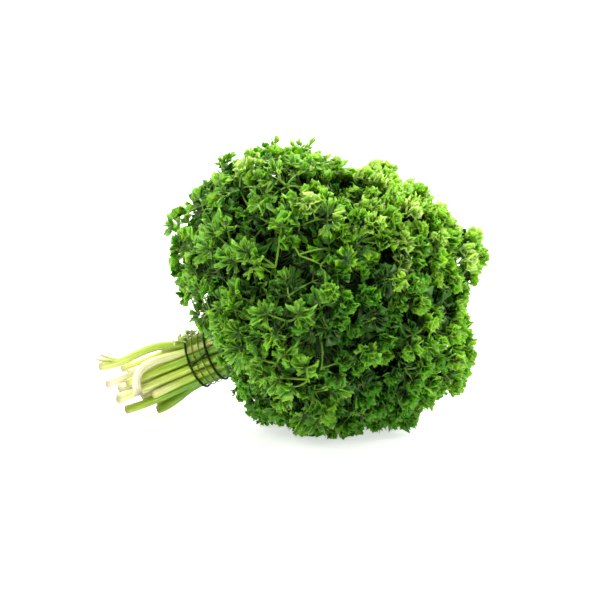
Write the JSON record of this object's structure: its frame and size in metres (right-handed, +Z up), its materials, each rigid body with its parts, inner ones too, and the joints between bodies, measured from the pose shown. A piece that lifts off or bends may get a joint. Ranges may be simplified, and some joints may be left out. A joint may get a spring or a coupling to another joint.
{
  "type": "parsley bunch",
  "caption": "Tied bunch of curly parsley lying on its side: a round head of crisped green leaves on pale cut stems held by a thin wound tie.",
  "frame": {"origin": "on the surface it lies on, under the middle of its bounding box", "axes": "+Z up, +X from the cut ends of the stems towards the leafy head, +Y across the bunch"},
  "size_m": [0.2411, 0.1763, 0.1751],
  "materials": {
    "leaf": "crisped green leaf with a waxy sheen",
    "stem": "pale yellow-green ridged stem, smooth and moist",
    "tie": "dark olive elastic thread, satin"
  },
  "bodies": {
    "root": {"stem_01": "stem", "leaf_01": "leaf", "stem_02": "stem", "leaf_02": "leaf", "stem_03": "stem", "leaf_03": "leaf", "stem_04": "stem", "leaf_04": "leaf", "stem_05": "stem", "leaf_05": "leaf", "stem_06": "stem", "leaf_06": "leaf", "stem_07": "stem", "leaf_07": "leaf", "stem_08": "stem", "leaf_08": "leaf", "stem_09": "stem", "leaf_09": "leaf", "stem_10": "stem", "leaf_10": "leaf", "stem_11": "stem", "leaf_11": "leaf", "stem_12": "stem", "leaf_12": "leaf", "stem_13": "stem", "leaf_13": "leaf", "stem_14": "stem", "leaf_14": "leaf", "stem_15": "stem", "leaf_15": "leaf", "stem_16": "stem", "leaf_16": "leaf", "stem_17": "stem", "leaf_17": "leaf", "stem_18": "stem", "leaf_18": "leaf", "stem_19": "stem", "leaf_19": "leaf", "stem_20": "stem", "leaf_20": "leaf", "stem_21": "stem", "leaf_21": "leaf", "stem_22": "stem", "leaf_22": "leaf", "stem_23": "stem", "leaf_23": "leaf", "stem_24": "stem", "leaf_24": "leaf", "stem_25": "stem", "leaf_25": "leaf", "stem_26": "stem", "leaf_26": "leaf", "stem_27": "stem", "leaf_27": "leaf", "stem_28": "stem", "leaf_28": "leaf", "tie": "tie"}
  },
  "joints": []
}
